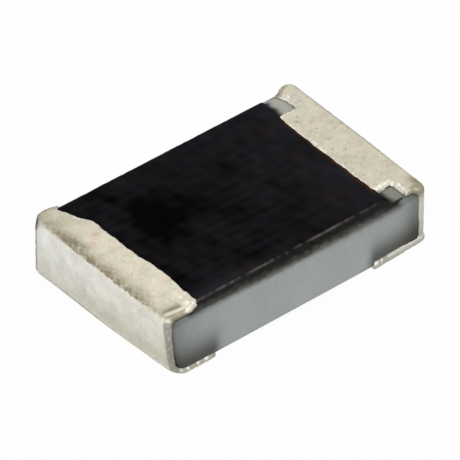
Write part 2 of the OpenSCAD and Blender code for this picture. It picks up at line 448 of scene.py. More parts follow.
def chip_field(x, y, z, rise):
    """Distance out of the plated chip, whose top is raised by a little."""
    ends = np.abs(x) - chip_high[0]
    sides = np.abs(y) - chip_high[1]
    near_end = ramp(ends - sides, -CORNER_BLEND, CORNER_BLEND)
    top_right_round = TOP_RIGHT_ROUND + TOP_RIGHT_EXTRA * ramp(y, TOP_RIGHT_FROM, TOP_RIGHT_TO)
    top_left_round = TOP_LEFT_ROUND + TOP_LEFT_EXTRA * ramp(y, TOP_LEFT_FROM, TOP_LEFT_TO)
    top_end_round = np.where(x < 0.0, top_left_round, top_right_round)
    top_round = TOP_SIDE_ROUND + (top_end_round - TOP_SIDE_ROUND) * near_end
    foot_end_round = np.where(x < 0.0, foot_left_round(y), FOOT_RIGHT_ROUND)
    foot_round = FOOT_SIDE_ROUND + (foot_end_round - FOOT_SIDE_ROUND) * near_end
    left_corner = np.where(y < 0.0, LEFT_FRONT_CORNER, LEFT_BACK_CORNER)
    walls = rounded(ends, sides, np.where(x < 0.0, left_corner, RIGHT_CORNER))
    upper = rounded(walls, z - chip_high[2] - rise, top_round)
    return np.maximum(upper, rounded(walls, chip_low[2] - z, foot_round))


def bare_chip(x, y, z):
    """Distance out of the plated chip, with its top as it is."""
    return chip_field(x, y, z, 0.0)


# Flecks of about twenty microns, as pastes of coarse powder leave when they are fired.
FLECK = 0.02 * MM


def fired_layer(name, light, shade, metallic, roughness):
    """Matt printed or plated layer, flecked between two tones."""
    made, tree, shader, place = surface(name)
    flecks = add(tree, "ShaderNodeTexNoise", {"Vector": place, "Scale": 1 / FLECK, "Detail": 4.0})
    tone = add(tree, "ShaderNodeMix", {FACTOR: flecks.outputs["Fac"], UNDER: linear(shade),
                                       OVER: linear(light)}, data_type="RGBA")
    tree.links.new(tone.outputs[MIXED], shader.inputs["Base Color"])
    relief = add(tree, "ShaderNodeBump", {"Strength": 0.4, "Distance": 0.001 * MM,
                                          "Height": flecks.outputs["Fac"]})
    tree.links.new(relief.outputs["Normal"], shader.inputs["Normal"])
    shader.inputs["Metallic"].default_value = metallic
    shader.inputs["Roughness"].default_value = roughness
    return made


layers = {
    "fired_silver": fired_layer("fired_silver_paste", "D2CDBF", "A9A394", 1.0, 0.55),
    "nickel": fired_layer("plated_nickel", "B9B2A2", "8F897B", 1.0, 0.4),
    "resistor_film": fired_layer("ruthenium_oxide_film", "2B2B2E", "161618", 0.0, 0.5),
    "trim_glass": fired_layer("fired_lead_free_glass", "7C8F80", "5C6F61", 0.0, 0.15),
}
INNER_DEPTH = 0.0195
SLOPE_REACH = 0.002
FLAP_FROM = 0.9
FLAP_SIDE = 0.55
FLAP_TUCK = 0.98
LEG_INNER = 0.96
LEG_TUCK = 0.59
NOTCH_FROM = 0.78
NOTCH_TUCK = 0.89
TAB_SIDE = 0.4
for part in frame["record"]["subparts"]:
    slot = part["material_slot"]
    if slot in layers:
        mesh = frame["nodes"][part["node"]].data
        points = np.empty(3 * len(mesh.vertices))
        mesh.vertices.foreach_get("co", points)
        points = points.reshape(-1, 3) / MM
        away = np.abs(points)
        flap = (away[:, 0] > FLAP_FROM) & (away[:, 1] > FLAP_SIDE)
        points[flap, 0] = np.sign(points[flap, 0]) * np.maximum(away[flap, 0], FLAP_TUCK)
        tucked = np.maximum(bare_chip(*points.T) + INNER_DEPTH, 0.0)
        points -= outward(bare_chip, points, SLOPE_REACH) * tucked[:, None]
        leg = (np.abs(points[:, 0]) < LEG_INNER) & (points[:, 2] > bevel_foot)
        points[leg, 1] = np.clip(points[leg, 1], -LEG_TUCK, LEG_TUCK)
        notch = leg & (points[:, 0] > NOTCH_FROM) & (np.abs(points[:, 1]) > TAB_SIDE)
        points[notch, 0] = np.maximum(points[notch, 0], NOTCH_TUCK)
        mesh = mesh.copy()
        mesh.vertices.foreach_set("co", (snapped(points) * MM).ravel())
        mesh.materials.clear()
        mesh.materials.append(layers[slot])
        layer = bpy.data.objects.new("layer_" + part["node"], mesh)
        bpy.context.scene.collection.objects.link(layer)
        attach(layer, "root")
        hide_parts(part["node"])


# Overcoat
# Black epoxy ink, screen-printed over the film and cured. It lies flat, drapes thinly over both
# score bevels, runs under the front of the left tin and out past its own right end.
COAT_LEFT = -0.745
COAT_STEP = 0.008
COAT_SINK = 0.012
COAT_DROP = 0.003
COAT_EDGE = 0.03
TUCK = 0.014
coat_top = millimetres("overcoat")[1][2] - COAT_DROP
LEFT_EDGE = -0.735
LONG_EDGE_WAVE = (0.0012, 0.2, 11)
SHORT_EDGE_WAVE = (0.0025, 0.055, 12)
# Steps in the left tin's inner edge: how far it moves, and from where to where across the chip.
EDGE_STEPS = [
    (0.022, -0.02, -0.18),
    (-0.011, -0.3, -0.45),
    (-0.052, 0.36, 0.47),
    (-0.04, 0.47, 0.6),
    (-0.1, -0.56, -0.625),
]


def left_tip(y):
    """Inner edge of the left tin, from the nose at the front to the curve at the back."""
    edge = LEFT_EDGE + ripple(0.0, y, 0.0, LONG_EDGE_WAVE) + ripple(0.0, y, 0.0, SHORT_EDGE_WAVE)
    for step, start, end in EDGE_STEPS:
        edge = edge + step * ramp(y, start, end)
    return edge


TAB_EDGE = -0.7135
TAB_SLANT = -0.025
LONG_TAB_WAVE = (0.002, 0.06, 41)
SHORT_TAB_WAVE = (0.002, 0.03, 42)


def right_tab(y):
    """Inner edge of the right tin's tab, as if on the left end."""
    wave = ripple(0.0, y, 0.0, LONG_TAB_WAVE) + ripple(0.0, y, 0.0, SHORT_TAB_WAVE)
    return TAB_EDGE + TAB_SLANT * y + wave


FRONT_SHOULDER = 0.07
BACK_SHOULDER = 0.047
SHOULDER_ROUND = 0.012


def shoulder(y):
    """Distance of the print's shoulder from the middle line."""
    return half_width - np.where(y < 0.0, FRONT_SHOULDER, BACK_SHOULDER)


HIDDEN_SIDE = 0.005
HIDDEN_FOOT = 0.012
LONG_DRAPE_WAVE = (0.0007, 0.09, 21)
SHORT_DRAPE_WAVE = (0.0005, 0.04, 22)


def coat_field(x, y, z):
    """Distance out of the coat."""
    side, foot = lip(x)
    drop = coat_top - foot
    run = side - shoulder(y)
    slope = ((np.abs(y) - shoulder(y)) * drop + (z - coat_top) * run) / np.hypot(drop, run)
    slope = slope + ripple(x, 0.0, 0.0, LONG_DRAPE_WAVE) + ripple(x, 0.0, 0.0, SHORT_DRAPE_WAVE)
    hidden = np.maximum(np.abs(y) - half_width + HIDDEN_SIDE, bevel_foot - HIDDEN_FOOT - z)
    form = np.maximum(rounded(slope, z - coat_top, SHOULDER_ROUND), hidden)
    main = rounded(form, np.maximum(left_tip(y) - TUCK - x, x - coat_end(y)), COAT_EDGE)
    return np.maximum(main, -block_field(x, y, z) - COAT_SINK)


ROOM_LEFT = 0.2
ROOM_RIGHT = 0.04
ROOM_BELOW = 0.03
BROAD_SWELL = (0.0005, 0.25, 31)
FINE_SWELL = (0.0003, 0.06, 32)
low = np.array([COAT_LEFT - ROOM_LEFT, block_low[1], bevel_foot - ROOM_BELOW])
high = np.array([COAT_RIGHT + ROOM_RIGHT, block_high[1], coat_top])
points, faces = skin(coat_field, low, high, COAT_STEP)
x, y, z = points.T
swell = ripple(x, y, z, BROAD_SWELL) + ripple(x, y, z, FINE_SWELL)
points = points + outward(coat_field, points, COAT_STEP / 2) * swell[:, None]

# How thin the ink is: 0 where it covers, 1 where it runs out on the bevels and at the notches.
MOTTLE = (1.0, 0.05, 33)
THIN_MOTTLE = 0.004
THIN_HEIGHT = 0.024
THIN_RIGHT = 0.7
THIN_RIGHT_FROM = 0.6
THIN_RIGHT_TO = 0.72
TAB_MIDDLE = -0.06
FADE = 0.025
FADE_FROM = 0.42
FADE_TO = 0.47
NOTCH_THIN = 0.4
mottle = ripple(x, y, z, MOTTLE)
off_tab = np.abs(y - TAB_MIDDLE)
over_lip = z - lip(x)[1] + THIN_MOTTLE * mottle
thin = 1.0 - ramp(over_lip, 0.0, THIN_HEIGHT)
thin = thin * (1.0 - THIN_RIGHT * ramp(x, THIN_RIGHT_FROM, THIN_RIGHT_TO))
fading = ramp(x - coat_end(y), -FADE, 0.0) * ramp(off_tab, FADE_FROM, FADE_TO)
thin = np.maximum(thin, NOTCH_THIN * fading * ramp(z, block_top, coat_top))

# The drape over the bevels is a little greyer than the flat, and along the print's shoulder runs a
# fine, broken, paler line of painted highlight.
DRAPE_FROM = -0.004
DRAPE_TO = 0.012
DRAPE_GREY = 0.75
DRAPE_MOTTLE = 0.35
GLINT_PLACE = 0.001
GLINT_WIDTH = 0.0055
GLINT_SHARE = 0.4
LONG_GLINT_GAPS = (0.3, 0.3, 34)
SHORT_GLINT_GAPS = (0.25, 0.05, 35)
GLINT_FROM = 0.5
GLINT_TO = 0.7
past_shoulder = np.abs(y) - shoulder(y)
drape = ramp(past_shoulder, DRAPE_FROM, DRAPE_TO) * (DRAPE_GREY + DRAPE_MOTTLE * mottle)
broken = GLINT_SHARE + ripple(x, y, 0.0, LONG_GLINT_GAPS) + ripple(x, y, 0.0, SHORT_GLINT_GAPS)
shoulder_glint = near(past_shoulder - GLINT_PLACE, GLINT_WIDTH) * broken * (1.0 - ramp(x, GLINT_FROM, GLINT_TO))

# Against the right tin the ink shows brown.
BROWN_PLACE = -0.005
BROWN_WIDTH = 0.009
BROWN_FROM = 0.43
BROWN_TO = 0.45
past_tab = x + right_tab(y)
brown = near(past_tab - BROWN_PLACE, BROWN_WIDTH) * (1.0 - ramp(off_tab, BROWN_FROM, BROWN_TO))

# The flat is deepest black over the left of the film and greys to the right, the back and the front.
GREY = 0.22
GREY_RIGHT = 0.25
GREY_RIGHT_TO = 0.7
GREY_BACK = 0.06
GREY_BACK_FROM = 0.2
GREY_BACK_TO = 0.6
GREY_FRONT = 0.5
GREY_FRONT_WIDTH = 0.07
GREY_FRONT_FROM = 0.1
GREY_FRONT_TO = -0.35
DEEP = 0.4
DEEP_X = -0.4
DEEP_Y = 0.13
DEEP_LENGTH = 0.2
DEEP_WIDTH = 0.17
BROAD_GREY = (0.08, 0.35, 36)
FINE_GREY = (0.07, 0.09, 37)
deep = near(x - DEEP_X, DEEP_LENGTH) * near(y - DEEP_Y, DEEP_WIDTH)
by_front = near(y + shoulder(y), GREY_FRONT_WIDTH) * (y < 0.0)
greyed = GREY + GREY_RIGHT * ramp(x, 0.0, GREY_RIGHT_TO) - DEEP * deep
greyed = greyed + GREY_BACK * ramp(y, GREY_BACK_FROM, GREY_BACK_TO)
greyed = greyed + GREY_FRONT * by_front * ramp(x, GREY_FRONT_FROM, GREY_FRONT_TO)
greyed = greyed + ripple(x, y, 0.0, BROAD_GREY) + ripple(x, y, 0.0, FINE_GREY)


def overlaid(tree, colour, tints):
    """Colour with others laid over it in turn, each where the mask of its name says."""
    for mask, tint in tints:
        amount = add(tree, "ShaderNodeAttribute", {}, attribute_name=mask)
        mixed = add(tree, "ShaderNodeMix", {FACTOR: amount.outputs["Fac"], UNDER: colour, OVER: tint},
                    data_type="RGBA")
        colour = mixed.outputs[MIXED]
    return colour


# Cured black epoxy ink: satin, almost black, with faint clouds from the screen and a filler of a
# few microns. The filler is drawn about three times too coarse, so that it shows.
ink, tree, shader, place = surface("cured_black_epoxy")
FILLER = 0.01 * MM
TINT = 0.15 * MM
filler = add(tree, "ShaderNodeTexNoise", {"Vector": place, "Scale": 1 / FILLER, "Detail": 2.0})
tint = add(tree, "ShaderNodeTexNoise", {"Vector": place, "Scale": 1 / TINT, "Detail": 2.0})
grey = add(tree, "ShaderNodeMix", {FACTOR: tint.outputs["Fac"], UNDER: linear("282F38"),
                                   OVER: linear("362B2B")}, data_type="RGBA")
black = overlaid(tree, linear("000000"), [
    ("greyed", grey.outputs[MIXED]),
    ("drape", linear("272726")),
    ("brown", linear("432612")),
    ("thin", linear("4A4A46")),
    # Painted highlight along the print's shoulder.
    ("shoulder_glint", linear("716A62")),
])
tree.links.new(black, shader.inputs["Base Color"])
bump = add(tree, "ShaderNodeBump", {"Strength": 0.3, "Distance": 0.0008 * MM,
                                    "Height": filler.outputs["Fac"]})
tree.links.new(bump.outputs["Normal"], shader.inputs["Normal"])
shader.inputs["Roughness"].default_value = 0.5
shader.inputs["IOR"].default_value = 1.5
shader.inputs["Specular IOR Level"].default_value = 0.01

coat = piece("black_overcoat", points, faces, ink,
             {"thin": thin, "shoulder_glint": shoulder_glint, "brown": brown, "drape": drape, "greyed": greyed})
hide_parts("overcoat")


# Tin caps
# Matt tin, plated over nickel and silver so that it wraps the top, the end and the underside of
# the block. Its edges creep and bead, and heat has browned the left end's top edge.
def joined(a, b, radius):
    """Field of what lies inside either field, with the inner corner between them filled."""
    return -rounded(-a, -b, radius)


NUDGE = 0.003


def left_edge(x, y):
    """Distance past the inner edge of the left tin."""
    turn = (left_tip(y + NUDGE) - left_tip(y - NUDGE)) / (2.0 * NUDGE)
    return (x - left_tip(y)) / np.hypot(1.0, turn)


BACK_NOTCH = 0.421
FRONT_NOTCH = 0.472
NOTCH_DEPTH = 0.157
NOTCH_ROUND = 0.025
TAB_ROUND = 0.02
NOTCH_WAVE = (0.003, 0.06, 43)


def right_edge(x, y):
    """Distance past the inner edge of the right tin, as if on the left end: a tab with a bare notch
    at each side."""
    past = x - right_tab(y)
    wave = ripple(x, y, 0.0, NOTCH_WAVE)
    back = joined(y - BACK_NOTCH + wave, past + NOTCH_DEPTH, NOTCH_ROUND)
    front = joined(-y - FRONT_NOTCH + wave, past + NOTCH_DEPTH, NOTCH_ROUND)
    return rounded(past, np.maximum(back, front), TAB_ROUND)


LEFT_LEG = 0.635
LEFT_LEG_SWELL = 0.018
LEFT_SWELL_FROM = -0.81
LEFT_SWELL_TO = -0.89


def left_rim(x):
    """Side of the left tin's back leg, which swells towards the end."""
    return LEFT_LEG + LEFT_LEG_SWELL * ramp(x, LEFT_SWELL_FROM, LEFT_SWELL_TO)


RIGHT_LEG = 0.616
RIGHT_LEG_SWELL = 0.05
RIGHT_SWELL_FROM = -0.86
RIGHT_SWELL_TO = -0.95


def right_rim(x):
    """Side of the right tin's back leg, as if on the left end."""
    return RIGHT_LEG + RIGHT_LEG_SWELL * ramp(x, RIGHT_SWELL_FROM, RIGHT_SWELL_TO)


# Matt tin: pale, slightly warm metal with a pebbled grain of about ten microns, in patches of two
# casts, and flecked with brown specks where it was handled.
tin, tree, shader, place = surface("matt_tin_plate")
PEBBLE = 0.013 * MM
BLOTCH = 0.08 * MM
CAST = 0.07 * MM
SPECKS_APART = 0.03 * MM
pebbles = add(tree, "ShaderNodeTexNoise", {"Vector": place, "Scale": 1 / PEBBLE, "Detail": 2.0})
blotches = add(tree, "ShaderNodeTexNoise", {"Vector": place, "Scale": 1 / BLOTCH, "Detail": 4.0})
casts = add(tree, "ShaderNodeTexNoise", {"Vector": place, "Scale": 1 / CAST, "Detail": 2.0})
specks = add(tree, "ShaderNodeTexNoise", {"Vector": place, "Scale": 1 / SPECKS_APART, "Detail": 1.0})
leaning = add(tree, "ShaderNodeMapRange", {"Value": casts.outputs["Fac"], "From Min": 0.35,
                                           "From Max": 0.65})
cast = add(tree, "ShaderNodeMix", {FACTOR: leaning.outputs["Result"], UNDER: linear("E0DDC4"),
                                   OVER: linear("E8D9C7")}, data_type="RGBA")
sparse = add(tree, "ShaderNodeMapRange", {"Value": specks.outputs["Fac"], "From Min": 0.63,
                                          "From Max": 0.78})
flecked = add(tree, "ShaderNodeAttribute", {}, attribute_name="flecked")
amount = add(tree, "ShaderNodeMath", {0: sparse.outputs["Result"], 1: flecked.outputs["Fac"]},
             operation="MULTIPLY")
spotted = add(tree, "ShaderNodeMix", {FACTOR: amount.outputs["Value"], UNDER: cast.outputs[MIXED],
                                      OVER: linear("968E72")}, data_type="RGBA")
plated = overlaid(tree, linear("EDEEEB"), [
    ("warm", spotted.outputs[MIXED]),
    # Painted shade lower on the walls, and darker tops.
    ("low", linear("C4C0AC")),
    # Heat browning, and brown painted shade at rims, a crease and a corner.
    ("browning_and_shade", linear("938A72")),
    # Painted shade in grey, and a dark line along the plating's edge.
    ("grime_and_shade", linear("54503F")),
    # Painted highlights.
    ("painted_highlight", linear("FFFDF6")),
])
dull = add(tree, "ShaderNodeMapRange", {"Value": blotches.outputs["Fac"], "From Min": 0.3,
                                        "From Max": 0.7, "To Min": 0.86, "To Max": 1.03})
fine = add(tree, "ShaderNodeMapRange", {"Value": pebbles.outputs["Fac"], "From Min": 0.25,
                                        "From Max": 0.6, "To Min": 0.84, "To Max": 1.0})
tone = add(tree, "ShaderNodeMath", {0: dull.outputs["Result"], 1: fine.outputs["Result"]},
           operation="MULTIPLY")
grained = add(tree, "ShaderNodeMix", {FACTOR: 1.0, UNDER: plated, OVER: tone.outputs["Value"]},
              data_type="RGBA", blend_type="MULTIPLY")
tree.links.new(grained.outputs[MIXED], shader.inputs["Base Color"])
bump = add(tree, "ShaderNodeBump", {"Strength": 0.5, "Distance": 0.002 * MM,
                                    "Height": pebbles.outputs["Fac"]})
tree.links.new(bump.outputs["Normal"], shader.inputs["Normal"])
shader.inputs["Metallic"].default_value = 1.0
shader.inputs["Roughness"].default_value = 0.45

# Shape of the caps, in millimetres from the chip's middle or from the edge that is named.
CAP_STEP = 0.0066
TIP_ROUND = 0.016
CORE_SINK = 0.009
FILLET = 0.03
LEFT_FOOT_FILLET = 0.033
RIGHT_FOOT_FILLET = 0.006
PAD_SWELL = 0.012
PAD_ROOM = 0.01
PAD_WAVE = (0.003, 0.05, 52)
WALL_WAVE = (0.002, 0.07, 51)
RIGHT_TAPER = 0.012
BACK_WALL = 0.045
BACK_WALL_FROM = 0.45
BACK_WALL_TO = 0.6
BACK_WALL_LOW = 0.07
BACK_WALL_HIGH = 0.04
FRONT_LEG = 0.622
LEG_RIM = 0.04
LEG_GAP = 0.002
LEG_MIDDLE = 0.43
LEG_SLOPE = 0.9
BACK_SLOPE = 1.1
BACK_SLOPE_FROM = 0.52
BACK_SLOPE_TO = 0.6
CREEP_LOSS = 0.4
CREEP_FROM = 0.75
CREEP_TO = 0.93
BEAD = 0.004
BEAD_PLACE = -0.018
BEAD_WIDTH = 0.014
SIDE_FROM = 0.03
SIDE_TO = 0.012
STRIP_SOFT = 0.012
COARSE_ROUGH = (0.0007, 0.06, 53)
FINE_ROUGH = (0.0005, 0.025, 54)
KNOBS = (1.0, 0.05, 55)
KNOB_HEIGHT = 0.001
BULGE = 0.01
BULGE_PLACE = 0.02
BULGE_SOFT = 0.025
BULGE_SIDE_FROM = 0.5
BULGE_SIDE_TO = 0.6
BULGE_END_FROM = 0.95
BULGE_END_TO = 0.98

# Browned places and brown painted shade: a gritty band over the left end's top edge, browned by heat,
# and painted shade on the back rims, a crease and the face of the front leg beside it, and the right
# end's front corner.
FLAT_FROM = 0.03
FLAT_TO = 0.008
GRIT = (1.0, 0.03, 56)
SOFT_PATCH = (1.0, 0.1, 57)
BAND_LEAN = 0.77
BAND_GRIT = 0.003
BAND_ENDS_FROM = 0.3
BAND_ENDS_TO = 0.5
BAND_CORE = 0.02
BAND_CORE_ENDS = 0.015
BAND_BULGE = 0.045
BAND_BULGE_Y = 0.28
BAND_BULGE_LENGTH = 0.1
BAND_WIDTH = 0.13
BAND_FRONT_LESS = 0.05
BAND_START = -0.005
BAND_FULL = 0.008
BAND_FULL_ENDS = 0.024
BAND_CURVE = 1.5
BAND_BROWN = 0.92
BAND_ENDS_LESS = 0.35
RIM_FROM = 0.09
RIM_TO = 0.03
RIM_GRIT = 0.006
BACK_RIM_FROM = -0.065
BACK_RIM_TO = -0.02
BACK_RIM_SHADE = 0.8
CREASE_X = -0.9
CREASE_Y = -0.55
CREASE_SLANT = 0.1
CREASE_INNER = 0.03
CREASE_OUTER = 0.007
CREASE_SHADE = 0.95
SPAN_FROM = -0.985
SPAN_FULL = -0.94
SPAN_FADES = -0.84
SPAN_TO = -0.815
FACE_FROM = 0.03
FACE_TO = 0.042
FACE_SHADE = 0.85
CORNER_END_FROM = 0.9
CORNER_END_TO = 0.97
CORNER_SIDE_FROM = 0.46
CORNER_SIDE_TO = 0.56
CORNER_SHADE = 0.95
BROWN_SHARE = 0.95
BROWN_GRIT = 0.25
BROWN_PATCH = 0.15

# Grey places, painted shade: where the plating turns the corners, turns down, back or away, and runs
# out on the sides, and along its foot; with a dark line along its edge on the sides.
# A turn is the share of the surface's outward direction that points along or across the chip.
TURNED_PATCH = 0.001
TURNED_FROM = 0.068
TURNED_TO = 0.054
TURNED_FULL = 0.85
TURNED_SPOTS = 0.25
TURNED_SPOT = (1.0, 0.03, 59)
TURNED_SPOT_FROM = 0.3
LEFT_TURNED_GREY = 0.68
RIGHT_TURNED_GREY = 0.25
BORDER_PLACE = -0.004
BORDER_WIDTH = 0.007
BORDER_GREY = 0.3
FOOT_LINE_FROM = -0.018
FOOT_LINE_TO = 0.006
END_TURN_FROM = 0.3
END_TURN_TO = 0.6
DOWN_TURN = -0.4
SOLE_GREY = 0.1
SOLE_MIDDLE_GREY = 0.45
SOLE_MIDDLE = 0.1
SOLE_LENGTH = 0.22
BACK_TURN = 0.48
FRONT_TURN = -0.7
TURN_WIDTH = 0.22
TURN_SIDE_FROM = 0.5
TURN_SIDE_TO = 0.55
BACK_TURN_GREY = 0.6
FRONT_TURN_GREY = 0.3
FAR_RIM_FROM = 0.035
FAR_RIM_TO = 0.008
FAR_RIM_LOW = 0.05
FAR_RIM_HIGH = 0.02
FAR_RIM_GREY = 0.45
STRIP_GREY = 0.35

# Painted highlights: beads along the pads and the inner edges, the corners of the notches, the nose
# of the left tin and the bend of its front leg.
NOTCH_SHINE_FROM = 0.38
NOTCH_SHINE_TO = 0.44
NOTCH_SIDE_FROM = 0.37
NOTCH_SIDE_TO = 0.43
EDGE_PLACE = -0.01
EDGE_WIDTH = 0.011
EDGE_WIDTH_NOTCH = 0.005
SPARKLE = (1.0, 0.035, 58)
SPARKLE_NOTCH = 0.5
SPARKLE_FROM = -0.1
SPARKLE_TO = 0.9
LEFT_SPARKLE = 0.3
RIGHT_SPARKLE = 0.6
NOTCH_SPARKLE = 0.9
KNOB_PLACE = 0.75
KNOB_WIDTH = 0.012
KNOB_TIP = 0.1
KNOB_FROM = 0.2
KNOB_EVEN = 0.55
NOSE_X = -0.787
NOSE_WIDTH = 0.013
NOSE_SIDE_FROM = 0.4
NOSE_SIDE_TO = 0.44
NOSE_BEADS = (1.0, 0.045, 60)
NOSE_BEADS_FROM = -0.3
NOSE_BEADS_TO = 0.6
GLEAM = 0.7
GLEAM_PLACE = 0.024
GLEAM_WIDTH = 0.006
GLEAM_EVEN = 0.6
GLEAM_PATCH = 0.4

# Casts: warm on top and paler on the walls, with brown flecks on top. The walls are painted in shade
# lower down, and the tops are darker at the right end and at the back of the left end.
WARM_TOP = 0.9
WARM_PATCH = 0.1
WARM_WALL = 0.2
WARM_FRONT = 0.25
WARM_FROM = 0.5
WARM_TO = -0.4
LOW_SHADE_FROM = 0.07
LOW_SHADE_TO = 0.42
LOW_SHADE_WALL = 0.75
LOW_SHADE_BACK_LESS = 0.15
LOW_SHADE_BACK_TO = 0.5
LOW_SHADE_FOOT_LESS = 0.35
LOW_SHADE_FOOT = 0.09
DARKER_TOP_RIGHT = 0.4
DARKER_TOP_BACK = 0.65
DARKER_TOP_FROM = 0.2
DARKER_TOP_TO = 0.5
LEFT_FLECKS = 0.35
RIGHT_FLECKS = 0.8


def tin_cap(name, node, mirror, inner_edge, rim_side, wall_end, wall_taper, creep, foot_fillet):
    """One cap, drawn for the left end and turned over for the right one."""
    left = 1.0 if mirror > 0 else 0.0
    right = 1.0 - left
    low, high = millimetres(node)
    reach = max(-low[0], high[0])
    pad = (high if mirror > 0 else -low)[0] + PAD_SWELL * (1.0 + left)
    side = high[1]
    foot = low[2]
    top = high[2]
    strip_top = block_foot + creep

    def wrap_field(x, y, z):
        """Distance past the inner edges of the end wall, the top legs and the pad."""
        at_back = ramp(y, BACK_WALL_FROM, BACK_WALL_TO)
        at_back = at_back * ramp(z, top - BACK_WALL_LOW, top - BACK_WALL_HIGH)
        wall = x + wall_end + wall_taper * (1.0 - z / top) - ripple(0.0, y, z, WALL_WAVE)
        wall = wall + BACK_WALL * right * at_back
        rim = rounded(np.maximum(-FRONT_LEG - y, y - rim_side(x)), z - top, LEG_RIM)
        lying = LEG_SLOPE + BACK_SLOPE * ramp(y, BACK_SLOPE_FROM, BACK_SLOPE_TO)
        edge = (inner_edge(x, y) + lying * (z - LEG_MIDDLE)) / np.hypot(1.0, lying)
        upper = np.maximum.reduce([edge, block_top + LEG_GAP - z, rim])
        thinned = creep * (1.0 - CREEP_LOSS * right * ramp(-x, CREEP_FROM, CREEP_TO))
        lower = np.maximum(x - pad - ripple(0.0, y, 0.0, PAD_WAVE), z - block_foot - thinned)
        return joined(joined(wall, upper, FILLET), lower, foot_fillet)

    def cap_field(x, y, z):
        """Distance out of the metal, which reaches a little into the block."""
        rise = BEAD * near(inner_edge(x, y) - BEAD_PLACE, BEAD_WIDTH)
        metal = rounded(chip_field(mirror * x, y, z, rise), wrap_field(x, y, z), TIP_ROUND)
        return np.maximum(metal, -CORE_SINK - block_field(x, y, z))

    start = np.array([-reach, -side, foot])
    stop = np.array([pad + PAD_ROOM, side, top + BEAD])
    points, faces = skin(cap_field, start, stop, CAP_STEP)
    normal = outward(cap_field, points, CAP_STEP / 2)
    x, y, z = points.T
    on_side = ramp(np.abs(y), side - SIDE_FROM, side - SIDE_TO)
    strip = on_side * (1.0 - ramp(z, strip_top, strip_top + STRIP_SOFT))
    knobs = ripple(x, 0.0, 0.0, KNOBS)
    bulge = near(z - BULGE_PLACE, BULGE_SOFT) * ramp(-y, BULGE_SIDE_FROM, BULGE_SIDE_TO)
    bulge = bulge * ramp(-x, BULGE_END_FROM, BULGE_END_TO) * right
    raised = ripple(x, y, z, COARSE_ROUGH) + ripple(x, y, z, FINE_ROUGH)
    raised = raised + KNOB_HEIGHT * strip * knobs + BULGE * bulge
    points = points + normal * raised[:, None]

    # Browned places and brown painted shade
    on_top = ramp(z, top - FLAT_FROM, top - FLAT_TO)
    on_wall = 1.0 - on_top
    grit = ripple(x, y, z, GRIT)
    patch = ripple(x, y, z, SOFT_PATCH)
    over_edge = x + reach - BAND_LEAN * (top - z) + BAND_GRIT * grit
    to_ends = ramp(np.abs(y), BAND_ENDS_FROM, BAND_ENDS_TO)
    core = BAND_CORE + BAND_CORE_ENDS * to_ends
    core = core + BAND_BULGE * near(y - BAND_BULGE_Y, BAND_BULGE_LENGTH)
    width = BAND_WIDTH - BAND_FRONT_LESS * ramp(-y, BAND_ENDS_FROM, BAND_ENDS_TO)
    rise = ramp(over_edge, BAND_START, BAND_FULL + BAND_FULL_ENDS * to_ends)
    fall = np.clip((width - over_edge) / (width - core), 0.0, 1.0)
    band = (BAND_BROWN - BAND_ENDS_LESS * to_ends) * rise * fall ** BAND_CURVE * left
    on_rim = ramp(z, top - RIM_FROM, top - RIM_TO)
    back_rim = ramp(y - rim_side(x) + RIM_GRIT * grit, BACK_RIM_FROM, BACK_RIM_TO) * on_rim
    past_crease = CREASE_Y - CREASE_SLANT * (x - CREASE_X) - y
    leg_span = ramp(x, SPAN_FROM, SPAN_FULL) * (1.0 - ramp(x, SPAN_FADES, SPAN_TO))
    crease_width = np.where(past_crease < 0.0, CREASE_INNER, CREASE_OUTER)
    crease = near(past_crease, crease_width) * leg_span * left
    leg_face = ramp(past_crease, FACE_FROM, FACE_TO) * leg_span * on_rim
    front_corner = ramp(-x, CORNER_END_FROM, CORNER_END_TO) * on_rim * right
    front_corner = front_corner * ramp(-y, CORNER_SIDE_FROM, CORNER_SIDE_TO)
    rim_shade = np.maximum.reduce([BACK_RIM_SHADE * back_rim, CREASE_SHADE * crease,
                              FACE_SHADE * leg_face, CORNER_SHADE * front_corner])
    mixed_brown = BROWN_SHARE + BROWN_PATCH * patch
    browning_and_shade = np.maximum(band * (mixed_brown + BROWN_GRIT * grit), rim_shade * mixed_brown)

    # Grey places: painted shade, and a dark line along the plating's edge
    turned = ramp(np.abs(y) + TURNED_PATCH * patch, side - TURNED_FROM, side - TURNED_TO)
    spots = ramp(ripple(x, y, z, TURNED_SPOT), TURNED_SPOT_FROM, 1.0)
    turned = turned * on_wall * (1.0 - strip) * (TURNED_FULL - TURNED_SPOTS * spots)
    border = near(wrap_field(x, y, z) - BORDER_PLACE, BORDER_WIDTH) * on_side * (1.0 - strip) * left
    foot_line = 1.0 - ramp(z - foot - foot_left_round(y), FOOT_LINE_FROM, FOOT_LINE_TO)
    foot_line = foot_line * ramp(-normal[:, 0], END_TURN_FROM, END_TURN_TO) * left
    sole = np.maximum(1.0 - ramp(normal[:, 2], DOWN_TURN, 0.0), foot_line)
    sole = sole * (SOLE_GREY + SOLE_MIDDLE_GREY * near(y - SOLE_MIDDLE, SOLE_LENGTH))
    back_turn = near(normal[:, 1] - BACK_TURN, TURN_WIDTH) * on_wall * left
    back_turn = back_turn * ramp(y, TURN_SIDE_FROM, TURN_SIDE_TO)
    front_turn = near(normal[:, 0] - FRONT_TURN, TURN_WIDTH) * on_wall * right
    front_turn = front_turn * ramp(-y, TURN_SIDE_FROM, TURN_SIDE_TO)
    far_rim = ramp(-x, reach - FAR_RIM_FROM, reach - FAR_RIM_TO) * right
    far_rim = far_rim * ramp(z, top - FAR_RIM_LOW, top - FAR_RIM_HIGH)
    grime_and_shade = (LEFT_TURNED_GREY * left + RIGHT_TURNED_GREY * right) * turned + sole
    grime_and_shade = grime_and_shade + BORDER_GREY * border + STRIP_GREY * strip + FAR_RIM_GREY * far_rim
    grime_and_shade = grime_and_shade + BACK_TURN_GREY * back_turn + FRONT_TURN_GREY * front_turn
